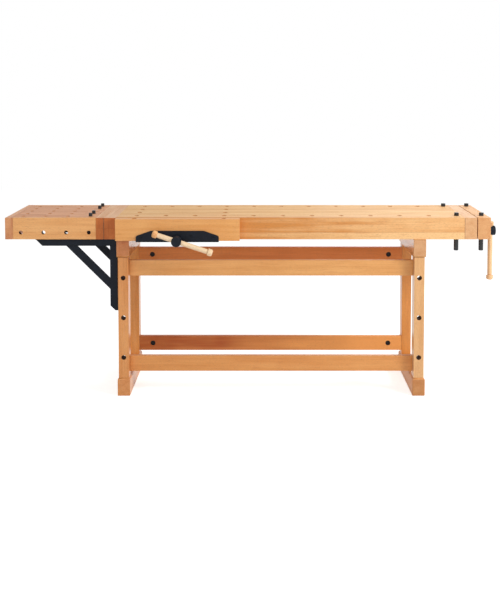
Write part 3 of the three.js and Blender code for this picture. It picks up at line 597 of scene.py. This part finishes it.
# Each wooden piece: grain axis, tone, stave section and its start, stave length, roughness, edge easing.
# An unbroken stave is longer than any piece.
UNBROKEN = 40.0
WOOD = {
    "front_beam": ("X", "gilded", (0.041, 0.0780), (0.0, 0.8400), UNBROKEN, 0.66, 0.0008),
    "rear_beam": ("X", "oat", (0.041, 0.0390), (0.0, 0.803), 0.9, 0.66, 0.0008),
    "top_panel": ("X", "oat", (0.052, 0.2), (0.0, 0.8), 0.9, 0.66, 0.0),
    "left_end_cap": ("Y", "russet", (0.031, 0.058), (0.0, 0.803), 0.7, 0.64, 0.0020),
    "right_end_cap": ("Y", "pale", (0.3, 0.2), (1.0, 0.75), UNBROKEN, 0.66, 0.0008),
    "extension_panel": ("X", "rose", (0.045, 0.2), (0.0, 0.8), 0.6, 0.55, 0.0006),
    "extension_front_apron": ("X", "golden", (0.3, 0.2), (-1.0, 0.75), UNBROKEN, 0.5, 0.0010),
    "extension_rear_apron": ("X", "golden", (0.3, 0.2), (-1.0, 0.75), UNBROKEN, 0.5, 0.0010),
    "extension_left_cap": ("Y", "rose", (0.04, 0.058), (0.0, 0.803), 0.7, 0.5, 0.0020),
    "extension_right_cap": ("Y", "russet", (0.04, 0.058), (0.0, 0.803), 0.7, 0.64, 0.0016),
    "front_vise_jaw": ("X", "marigold", (0.3, 0.2), (-1.0, 0.75), UNBROKEN, 0.5, 0.0025),
    "tail_vise_jaw": ("Y", "straw", (0.3, 0.2), (1.0, 0.75), UNBROKEN, 0.66, 0.0012),
    "left_foot": ("Y", "sand", (0.3, 0.3), (-1.0, -0.1), UNBROKEN, 0.3, 0.0025),
    "left_bearer": ("Y", "honey", (0.3, 0.3), (-1.0, -0.1), UNBROKEN, 0.18, 0.0025),
    "left_front_leg": ("Z", "auburn", (0.2, 0.2), (-1.0, -1.0), UNBROKEN, 0.3, 0.0008),
    "left_rear_leg": ("Z", "tangerine", (0.2, 0.2), (-1.0, -1.0), UNBROKEN, 0.3, 0.0008),
    "right_foot": ("Y", "clay", (0.3, 0.3), (-1.0, -0.1), UNBROKEN, 0.5, 0.0025),
    "right_bearer": ("Y", "blush", (0.3, 0.3), (-1.0, -0.1), UNBROKEN, 0.18, 0.0025),
    "right_front_leg": ("Z", "wheat", (0.2, 0.2), (-1.0, -1.0), UNBROKEN, 0.3, 0.0008),
    "right_rear_leg": ("Z", "sorrel", (0.2, 0.2), (-1.0, -1.0), UNBROKEN, 0.3, 0.0008),
    "front_lower_stretcher": ("X", "amber", (0.3, 0.3), (-1.0, -1.0), UNBROKEN, 0.45, 0.0020),
    "front_upper_stretcher": ("X", "apricot", (0.3, 0.3), (-1.0, -1.0), UNBROKEN, 0.45, 0.0020),
    "rear_lower_stretcher": ("X", "cinnamon", (0.3, 0.3), (-1.0, -1.0), UNBROKEN, 0.45, 0.0020),
    "rear_upper_stretcher": ("X", "chestnut", (0.3, 0.3), (-1.0, -1.0), UNBROKEN, 0.45, 0.0020),
}
FIRST_SEED = 20


def bores(first, second, radius, walls):
    """A pattern of holes: first place and pitch on two cross axes, radius, and the painted shade colours
    of the walls.
    """
    patterns = []
    for axis, begin, pitch in (first, second):
        patterns.append((axis, LAYOUT[axis] + begin / MM, pitch / MM))
    return (*patterns, radius / MM, *walls)


# Painted shade on a bored wall, lighter for the holes in the top and deeper for the holes in the front
# faces, and the pitch of holes that have no second row
PAINTED_SHADE_TOP_WALL = ((0.66, 0.24, 0.060, 1.0), (0.48, 0.155, 0.036, 1.0))
PAINTED_SHADE_FACE_WALL = ((0.20, 0.085, 0.04, 1.0), (0.11, 0.045, 0.02, 1.0))
LONE = 1000.0
DOG_BORES = bores((0, 158.0, 150.0), (1, 77.0, 122.0), 12.5, PAINTED_SHADE_TOP_WALL)
JAW_BORES = bores((0, 158.0, 450.0), (1, -25.25, LONE), 12.5, PAINTED_SHADE_TOP_WALL)
PANEL_BORES = bores((0, -76.0, 114.7), (1, 60.0, 95.0), 10.0, PAINTED_SHADE_TOP_WALL)
APRON_BORES = bores((0, -76.0, 114.7), (2, 840.0, LONE), 10.0, PAINTED_SHADE_FACE_WALL)
LEFT_LEG_BORES = bores((0, TRESTLE_MIDDLES["left"], LONE), (2, 197.0, 205.0), 12.5, PAINTED_SHADE_FACE_WALL)
RIGHT_LEG_BORES = bores((0, TRESTLE_MIDDLES["right"], LONE), (2, 197.0, 205.0), 12.5, PAINTED_SHADE_FACE_WALL)

# What is particular to a piece: its holes; a seam, by place and strength; a paler part below a height;
# and painted light and shade: a tone that drifts along it, deeper where the piece lies in shade and
# paler where more light falls, by the limit across, two places along, their depths, and the depth past
# that limit
EXTRAS = {
    # The front beam's drift paints shade on its left end by the jaw and light on its right end; the rear
    # stretchers' drifts paint the shade under the top
    "front_beam": {
        "bores": DOG_BORES,
        "paler_below": (0.840, 0.23),
        "painted_light_drift": (-0.164, -0.14, 0.8, 0.56, -0.62, -0.34),
    },
    "rear_upper_stretcher": {"painted_light_drift": (1.0, -0.20, 0.70, -0.35, 0.35, 0.0)},
    "rear_lower_stretcher": {"painted_light_drift": (1.0, -0.20, 0.42, 0.52, -0.60, 0.0)},
    "rear_beam": {"bores": DOG_BORES},
    "top_panel": {"bores": DOG_BORES},
    "left_end_cap": {"seam": (LAYOUT.x, 0.75)},
    "right_end_cap": {"seam": (LAYOUT.x + 1.828, 0.5)},
    "front_vise_jaw": {"bores": JAW_BORES},
    "extension_panel": {"bores": PANEL_BORES},
    "extension_front_apron": {"bores": APRON_BORES},
    "extension_rear_apron": {"bores": APRON_BORES},
    "extension_right_cap": {"seam": (LAYOUT.x, 0.75)},
    "left_front_leg": {"bores": LEFT_LEG_BORES},
    "right_front_leg": {"bores": RIGHT_LEG_BORES},
}

# How strongly the figure shows in the quieter boards, where 1 is the usual strength
FIGURE = {"rear_lower_stretcher": 0.55}


def handle_wood(name, grain, tone_name, roughness, seed):
    """Quiet beech in one stave, for a turned handle or knob."""
    return beech(name, grain, tone_name, (0.5, 0.5), (-0.2, -0.2), UNBROKEN, roughness, seed, 0.7)


# The tail handle and knob take tan, a deeper copy of the front handle's cream: painted shade for the
# tail handle's shaded side
HANDLE_WOODS = {
    "front": handle_wood("front_handle_beech", "Y", "cream", 0.3, 11.0),
    "tail": handle_wood("tail_handle_beech", "Y", "tan", 0.4, 12.0),
}
KNOB_WOODS = {
    "front": handle_wood("front_knob_beech", "X", "peach", 0.4, 13.0),
    "tail": handle_wood("tail_knob_beech", "Z", "tan", 0.4, 14.0),
}
black_steel = painted_steel("black_steel", srgb(12, 17, 26), srgb(24, 31, 42), 0.5, 0.16)
dog_steel = painted_steel("dog_steel", srgb(12, 14, 18), srgb(34, 37, 43), 0.32, 0.45)
iron = cast("cast_iron", srgb(38, 41, 45), srgb(62, 65, 69))
bright_steel = ground_steel("bright_steel", srgb(200, 203, 207), srgb(150, 150, 150))
# The stretcher bolts' oiled steel is painted darker, for the shade in the holes they sit in
oiled_steel_and_hole_shade = painted_steel("oiled_steel_and_hole_shade", srgb(20, 18, 19), srgb(44, 38, 36), 0.42, 0.2)

# Edge easing of the steel pieces, in metres
BOLT_EASE = 0.0006
BRACKET_EASE = 0.0008
PLATE_EASE = 0.0003
BLOCK_EASE = 0.0020

NODE_LOOKS = {}
for seed, (node, values) in enumerate(WOOD.items(), FIRST_SEED):
    *grain_values, node_ease = values
    figure = FIGURE.get(node, 1.0)
    wood = beech(f"{node}_beech", *grain_values, float(seed), figure, EXTRAS.get(node))
    NODE_LOOKS[node] = (wood, node_ease)
for side in ("left", "right"):
    for row in ("front", "rear"):
        for level in ("lower", "upper"):
            NODE_LOOKS[f"{side}_{row}_{level}_bolt"] = (oiled_steel_and_hole_shade, BOLT_EASE)
for row in BRACKET_MIDDLES:
    for bar in ("arm", "post", "brace"):
        NODE_LOOKS[f"{row}_bracket_{bar}"] = (black_steel, BRACKET_EASE)
for vise_name in VISES:
    NODE_LOOKS[f"{vise_name}_vise_plate"] = (black_steel, PLATE_EASE)
    NODE_LOOKS[f"{vise_name}_vise_nut_block"] = (iron, BLOCK_EASE)


# Dressing of the solids

# Vertices nearer than this are one, in metres, and faces flatter than this are one
WELD = 0.00002
FLAT_ANGLE = math.radians(0.6)

# Edges sharper than this are corners, and outer corners longer than this, in metres, are eased, so the
# rims of the holes stay sharp
CORNER_ANGLE = math.radians(36.0)
LONG_EDGE = 0.051
EDGE_MARK = "bevel_weight_edge"
EASING_STEPS = 2


def geometry_group(name):
    """An empty node group that takes and gives geometry, with its two end nodes."""
    group = bpy.data.node_groups.new(name, "GeometryNodeTree")
    group.interface.new_socket("Geometry", in_out="INPUT", socket_type="NodeSocketGeometry")
    group.interface.new_socket("Geometry", in_out="OUTPUT", socket_type="NodeSocketGeometry")
    return group, group.nodes.new("NodeGroupInput"), group.nodes.new("NodeGroupOutput")


def greater(group, value, limit):
    """The result of comparing a value with a limit, in a node group."""
    compare = group.nodes.new("FunctionNodeCompare")
    compare.operation = "GREATER_THAN"
    compare.inputs[1].default_value = limit
    group.links.new(value, compare.inputs[0])
    return compare.outputs[0]


def smooth_by_angle():
    """Node group that shades smooth across every edge flatter than a corner."""
    group, source, result = geometry_group("smooth_by_angle")
    faces = group.nodes.new("GeometryNodeSetShadeSmooth")
    faces.domain = "FACE"
    edges = group.nodes.new("GeometryNodeSetShadeSmooth")
    edges.domain = "EDGE"
    edges.inputs["Shade Smooth"].default_value = False
    angle = group.nodes.new("GeometryNodeInputMeshEdgeAngle")
    corner = greater(group, angle.outputs["Unsigned Angle"], CORNER_ANGLE)
    group.links.new(source.outputs[0], faces.inputs["Geometry"])
    group.links.new(faces.outputs[0], edges.inputs["Geometry"])
    group.links.new(corner, edges.inputs["Selection"])
    group.links.new(edges.outputs[0], result.inputs[0])
    return group


def long_edges():
    """Node group that marks the long outer corners of a piece for easing."""
    group, source, result = geometry_group("long_edges")
    angle = group.nodes.new("GeometryNodeInputMeshEdgeAngle")
    corner = greater(group, angle.outputs["Signed Angle"], CORNER_ANGLE)
    ends = group.nodes.new("GeometryNodeInputMeshEdgeVertices")
    length = group.nodes.new("ShaderNodeVectorMath")
    length.operation = "DISTANCE"
    group.links.new(ends.outputs["Position 1"], length.inputs[0])
    group.links.new(ends.outputs["Position 2"], length.inputs[1])
    long = greater(group, length.outputs["Value"], LONG_EDGE)
    both = group.nodes.new("FunctionNodeBooleanMath")
    both.operation = "AND"
    group.links.new(corner, both.inputs[0])
    group.links.new(long, both.inputs[1])
    mark = group.nodes.new("GeometryNodeStoreNamedAttribute")
    mark.data_type = "FLOAT"
    mark.domain = "EDGE"
    mark.inputs["Name"].default_value = EDGE_MARK
    group.links.new(source.outputs[0], mark.inputs["Geometry"])
    group.links.new(both.outputs[0], mark.inputs["Value"])
    group.links.new(mark.outputs[0], result.inputs[0])
    return group


marking = long_edges()
smoothing = smooth_by_angle()


def dress(piece, material, ease):
    """Gives a solid its material, eases its long edges and shades it."""
    piece.data.materials.clear()
    piece.data.materials.append(material)
    weld = piece.modifiers.new("weld", "WELD")
    weld.merge_threshold = WELD
    flat = piece.modifiers.new("flat_faces", "DECIMATE")
    flat.decimate_type = "DISSOLVE"
    flat.angle_limit = FLAT_ANGLE
    if ease:
        corners = piece.modifiers.new("corners", "NODES")
        corners.node_group = marking
        edge = piece.modifiers.new("eased_edges", "BEVEL")
        edge.width = ease
        edge.segments = EASING_STEPS
        edge.limit_method = "WEIGHT"
        edge.edge_weight = EDGE_MARK
        edge.use_clamp_overlap = True
        edge.loop_slide = False
    shade = piece.modifiers.new("smooth", "NODES")
    shade.node_group = smoothing
    weight = piece.modifiers.new("weighted", "WEIGHTED_NORMAL")
    weight.keep_sharp = True


for node, look in NODE_LOOKS.items():
    dress(nodes[node], *look)


# Vise pieces, with profiles in millimetres

WASHER = 1.6
HANDLE_HOLE = 13.4
THREAD_ROOT = 9.5
THREAD_CREST = 11.95
HEAD_SIDES = 36
ROD_SIDES = 40
BOSS_SIDES = 64


def socket_head(radius, height, key):
    """Round bolt head with a hexagonal socket, standing along +Y from its seat."""
    profile = [
        (0.0, 0.0),
        (radius, 0.0),
        (radius, height * 0.55),
        (radius * 0.93, height * 0.82),
        (radius * 0.78, height),
        (key * 1.18, height),
        (key, height, 6),
        (key, height * 0.35, 6),
        (0.0, height * 0.3),
    ]
    return turned(profile, HEAD_SIDES)


def hex_head(flat, height):
    """Hexagon bolt head on a washer, standing along +Y from its seat."""
    profile = [
        (0.0, 0.0),
        (flat * 1.42, 0.0),
        (flat * 1.45, 0.5),
        (flat * 1.42, WASHER),
        (flat * 1.2, WASHER),
        (flat, WASHER, 6),
        (flat, WASHER + height * 0.86, 6),
        (flat * 0.95, WASHER + height),
        (flat * 0.4, WASHER + height * 0.98),
        (0.0, WASHER + height * 0.96),
    ]
    return turned(profile, HEAD_SIDES)


def screw_pieces(name, vise, spindle):
    """Screw, turned with its bored boss, collar and thread."""
    body = f"{name}_screw"
    profile = [
        (0.0, 0.0),
        (22.5, 0.0),
        (25.0, 2.6),
        (25.0, BOSS_LENGTH),
        (11.9, BOSS_LENGTH),
        (0.0, BOSS_LENGTH),
    ]
    boss = mesh_of(f"{name}_boss", turned(eased(profile, 1.6), BOSS_SIDES))
    profile = [(0.0, -40.0), (HANDLE_HOLE, -40.0), (HANDLE_HOLE, 40.0), (0.0, 40.0)]
    hole = mesh_of(f"{name}_hole", turned(profile))
    hole.transform(moved(0.0, BOSS_LENGTH / 2.0, 0.0) @ rolled(90.0, "Z"))
    boss = bored(boss, hole)
    place_piece(f"{name}_screw_boss", boss, spindle, black_steel, body)

    end = BOSS_REACH + vise["jaw"] + vise["reach"]
    thread_start = BOSS_REACH + vise["jaw"] - 12.0
    profile = [
        (0.0, 50.0),
        (11.95, 50.0),
        (11.95, 81.3),
        (14.5, 81.3),
        (14.5, 91.3),
        (11.8, 91.3),
        (11.8, thread_start + 2.0),
        (9.6, thread_start + 5.0),
        (9.6, end - 2.0),
        (7.6, end),
        (0.0, end),
    ]
    shank = turned(eased(profile, 0.8), ROD_SIDES)
    ridge = thread(thread_start + 4.0, end - 3.0, THREAD_ROOT, THREAD_CREST)
    screw = mesh_of(f"{name}_screw_mesh", shank, ridge, sharp=THREAD_CREASE)
    screw = place_piece(f"{name}_screw_shank", screw, spindle, bright_steel, body)
    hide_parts(f"{name}_vise_screw")


def handle_pieces(name, vise, spindle):
    """Handle, a turned bar with one knob of its own and a second knob let on to its end."""
    body = f"{name}_handle"
    grip = spindle @ moved(vise["shift"], BOSS_LENGTH / 2.0, 0.0) @ rolled(90.0, "Z")
    half = HANDLE_LENGTH / 2.0
    neck = half - KNOB_LENGTH
    own_knob = [
        (0.0, -half),
        (12.0, -half),
        (18.0, -half + 5.5),
        (18.0, -neck - 2.0),
        (15.8, -neck),
        (12.4, -neck),
    ]
    profile = [
        *eased(own_knob, 2.2),
        (10.6, -neck + 0.6),
        (10.6, -neck + 2.6),
        (12.45, -neck + 4.0),
        (12.5, -40.0),
        (12.5, 40.0),
        (12.45, neck - 6.0),
        (12.0, neck - 0.4),
        (7.0, neck),
        (7.0, neck + 14.0),
        (0.0, neck + 14.0),
    ]
    bar = mesh_of(f"{name}_bar", turned(profile))
    bar = place_piece(f"{name}_handle_bar", bar, grip, HANDLE_WOODS[name], body)
    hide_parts(f"{name}_vise_handle")

    profile = [
        (0.0, neck + 14.3),
        (7.3, neck + 14.3),
        (7.3, neck + 0.3),
        (15.8, neck + 0.3),
        (18.0, neck + 2.5),
        (18.0, half - 5.5),
        (12.0, half),
        (0.0, half),
    ]
    knob = mesh_of(f"{name}_knob", turned(eased(profile, 2.2)))
    knob = place_piece(f"{name}_handle_end", knob, grip, KNOB_WOODS[name], body)
    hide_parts(f"{name}_vise_handle_knob")


def rod_pieces(name, vise, base):
    """Guide rods, ground and chamfered, with a turned relief before the tip."""
    body = f"{name}_jaw"
    jaw_face = -vise["jaw"]
    tip = vise["reach"]
    profile = [
        (0.0, jaw_face),
        (10.0, jaw_face),
        (10.0, tip - 14.0),
        (9.0, tip - 13.0),
        (9.0, tip - 11.0),
        (10.0, tip - 10.0),
        (10.0, tip - 2.0),
        (8.0, tip),
        (0.0, tip),
    ]
    for side, x in (("left", -vise["rod"]), ("right", vise["rod"])):
        rod = mesh_of(f"{name}_{side}_rod", turned(eased(profile, 0.5), ROD_SIDES))
        matrix = base @ moved(x, 0.0, ROD_HEIGHT)
        rod = place_piece(f"{name}_{side}_guide", rod, matrix, bright_steel, body)
        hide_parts(f"{name}_vise_{side}_rod")


def vise_bolts(name, vise, base):
    """Bolts that hold the plate on the jaw, and the nut block under the top."""
    body = f"{name}_jaw"
    seat = -vise["jaw"] - PLATE_FACE
    for number, (x, z) in enumerate(vise["plate_bolts"], 1):
        matrix = base @ moved(x, seat, z) @ rolled(180.0, "Z")
        head = mesh_of(f"{name}_plate_head_{number}", socket_head(7.5, 4.2, 3.0))
        place_piece(f"{name}_plate_bolt_{number}", head, matrix, black_steel, body)
    for number, (share, depth) in enumerate(BLOCK_BOLTS, 1):
        place = moved(vise["rod"] * share, vise["block"] + depth, BLOCK_BOLT_SEAT)
        matrix = base @ place @ facing(DOWNWARD)
        head = mesh_of(f"{name}_block_head_{number}", hex_head(6.5, 5.0))
        place_piece(f"{name}_block_bolt_{number}", head, matrix, bright_steel, "bench")


for vise_name, vise_values in VISES.items():
    vise_base = Matrix.Translation(at(*vise_values["place"], 0.0)) @ rolled(vise_values["heading"], "Z")
    screw_front = moved(0.0, -vise_values["jaw"] - BOSS_REACH, SCREW_HEIGHT)
    vise_spindle = vise_base @ screw_front @ rolled(vise_values["tilt"], "Y")
    screw_pieces(vise_name, vise_values, vise_spindle)
    handle_pieces(vise_name, vise_values, vise_spindle)
    rod_pieces(vise_name, vise_values, vise_base)
    vise_bolts(vise_name, vise_values, vise_base)


# Bench dogs, turned with a groove and a lightly dished top


def dog_profile(radius, length):
    """Profile of a dog from its lower end to its top, in millimetres below the top."""
    lower = [(0.0, -length), (radius - 2.0, -length), (radius, -length + 2.0), (radius, -30.0)]
    upper = [(radius, -12.0), (radius, -1.8), (radius - 1.8, 0.0), (radius - 3.4, 0.0)]
    return [
        *eased(lower, 0.8)[:-1],
        (radius, -26.0),
        (radius - 0.6, -25.4),
        (radius - 0.6, -23.6),
        (radius, -23.0),
        *eased(upper, 0.8),
        (radius - 4.0, -0.35),
        (0.0, -0.5),
    ]


for name, (x, y, dog_radius, dog_length) in DOGS.items():
    dog_matrix = Matrix.Translation(at(x, y, DOG_TOP)) @ facing(UPWARD)
    dog = mesh_of(f"{name}_turned", turned(dog_profile(dog_radius, dog_length), ROD_SIDES))
    dog = place_piece(f"{name}_pin", dog, dog_matrix, dog_steel, BODY_OF_NODE[name])
    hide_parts(name)


# Screws of the brackets, and the bolts that hold the top on the bearers

for row, middle in BRACKET_MIDDLES.items():
    for number, x in enumerate(ARM_SCREWS, 1):
        head_matrix = Matrix.Translation(at(x, middle, ARM_SEAT)) @ facing(DOWNWARD)
        head = mesh_of(f"{row}_arm_head_{number}", socket_head(6.0, 3.6, 2.2))
        place_piece(f"{row}_arm_screw_{number}", head, head_matrix, dog_steel, "bench")
    for number, z in enumerate(POST_SCREWS, 1):
        head_matrix = Matrix.Translation(at(POST_SEAT, middle, z)) @ facing(LEFTWARD)
        head = mesh_of(f"{row}_post_head_{number}", socket_head(6.5, 4.0, 2.5))
        place_piece(f"{row}_post_screw_{number}", head, head_matrix, dog_steel, "bench")
for side, x in TRESTLE_MIDDLES.items():
    for number, y in enumerate(TOP_BOLTS, 1):
        head_matrix = Matrix.Translation(at(x, y, TOP_BOLT_SEAT)) @ facing(DOWNWARD)
        head = mesh_of(f"{side}_top_head_{number}", hex_head(8.0, 6.0))
        bolt_name = f"{side}_top_bolt_{number}"
        place_piece(bolt_name, head, head_matrix, bright_steel, "bench")


# Floor, light and camera

# The floor lies just below the feet: half its width, its number of tiles each way, and its depth
FLOOR_REACH = 9.0
FLOOR_TILES = 6
FLOOR_DEPTH = 0.0008
FLOOR_GLOW = 0.68
PAPER = ((0.80, 0.80, 0.80, 1.0), (0.82, 0.82, 0.82, 1.0))
WHITE = (1.0, 1.0, 1.0, 1.0)

# Strength of the room's light on the bench
ROOM_LIGHT = 0.41

# Lamps: place, aim, width and height in metres, and power in watts
LAMPS = {
    "key": ((3.6, -2.2, 2.7), (0.5, 0.0, 0.5), (1.5, 1.3), 126.0),
    "front": ((-1.6, -4.8, 2.2), (-0.6, 0.0, 0.6), (2.8, 2.0), 55.0),
    "overhead": ((1.2, 0.5, 3.1), (0.8, 0.1, 0.9), (2.6, 1.4), 17.0),
    "back": ((1.7, 3.6, 1.7), (0.8, 0.0, 0.9), (2.4, 1.2), 18.0),
}

# Camera: place, downward tilt in degrees, sensor and lens in millimetres, and shift
CAMERA_PLACE = (0.026, -5.0793, 1.62)
CAMERA_TILT = 3.53
CAMERA_SENSOR = 36.0
CAMERA_LENS = 58.32
CAMERA_SHIFT = (-0.0184, -0.27)


def studio_floor():
    """A sheet of white paper that shows a soft shadow under the bench."""
    verts = []
    places = [FLOOR_REACH * (2.0 * step / FLOOR_TILES - 1.0) for step in range(FLOOR_TILES + 1)]
    for y in places:
        verts.extend((x, y, -FLOOR_DEPTH) for x in places)
    faces = []
    across = len(places)
    for row in range(FLOOR_TILES):
        for column in range(FLOOR_TILES):
            corner = row * across + column
            faces.append((corner, corner + 1, corner + across + 1, corner + across))
    mesh = bpy.data.meshes.new("floor")
    mesh.from_pydata(verts, [], faces)
    floor = bpy.data.objects.new("floor", mesh)
    bpy.context.scene.collection.objects.link(floor)
    s = Shader("floor_paper")
    tint = s.noise(s.coordinates.outputs["Object"], 3.0, 2.0)
    paper = s.add("ShaderNodeBsdfDiffuse", {"Color": s.mix(tint, *PAPER)})
    glow = s.add("ShaderNodeEmission", {"Color": WHITE, "Strength": FLOOR_GLOW})
    both = s.add("ShaderNodeAddShader", {0: paper.outputs[0], 1: glow.outputs[0]})
    path = s.add("ShaderNodeLightPath")
    seen = s.math("MAXIMUM", path.outputs["Is Camera Ray"], path.outputs["Is Glossy Ray"])
    mixed = s.add("ShaderNodeMixShader", {0: seen, 1: paper.outputs[0], 2: both.outputs[0]})
    s.add("ShaderNodeOutputMaterial", {"Surface": mixed.outputs[0]})
    mesh.materials.append(s.material)


def studio_world(level):
    """A white room, at full strength where it is seen and at the given level where it lights."""
    world = bpy.data.worlds.new("studio")
    world.use_nodes = True
    bpy.context.scene.world = world
    tree = world.node_tree
    background = tree.nodes["Background"]
    background.inputs["Color"].default_value = WHITE
    path = tree.nodes.new("ShaderNodeLightPath")
    seen = tree.nodes.new("ShaderNodeMath")
    seen.operation = "MAXIMUM"
    tree.links.new(path.outputs["Is Camera Ray"], seen.inputs[0])
    tree.links.new(path.outputs["Is Glossy Ray"], seen.inputs[1])
    strength = tree.nodes.new("ShaderNodeMapRange")
    strength.inputs["To Min"].default_value = level
    strength.inputs["To Max"].default_value = 1.0
    tree.links.new(seen.outputs[0], strength.inputs["Value"])
    tree.links.new(strength.outputs[0], background.inputs["Strength"])


def softbox(name, place, aim, size, power):
    """A rectangular lamp that is not itself seen."""
    data = bpy.data.lights.new(name, "AREA")
    data.shape = "RECTANGLE"
    data.size, data.size_y = size
    data.energy = power
    lamp = bpy.data.objects.new(name, data)
    bpy.context.scene.collection.objects.link(lamp)
    lamp.location = place
    lamp.visible_camera = False
    direction = Vector(aim) - Vector(place)
    lamp.rotation_euler = direction.to_track_quat("-Z", "Y").to_euler()


studio_floor()
studio_world(ROOM_LIGHT)
for lamp_name, lamp_values in LAMPS.items():
    softbox(lamp_name, *lamp_values)

camera_data = bpy.data.cameras.new("camera")
camera_data.sensor_width = CAMERA_SENSOR
camera_data.lens = CAMERA_LENS
camera_data.shift_x, camera_data.shift_y = CAMERA_SHIFT
camera = bpy.data.objects.new("camera", camera_data)
bpy.context.scene.collection.objects.link(camera)
camera.location = CAMERA_PLACE
camera.rotation_euler = (math.radians(90.0 - CAMERA_TILT), 0.0, 0.0)
bpy.context.scene.camera = camera
bpy.context.scene.view_settings.view_transform = "Standard"
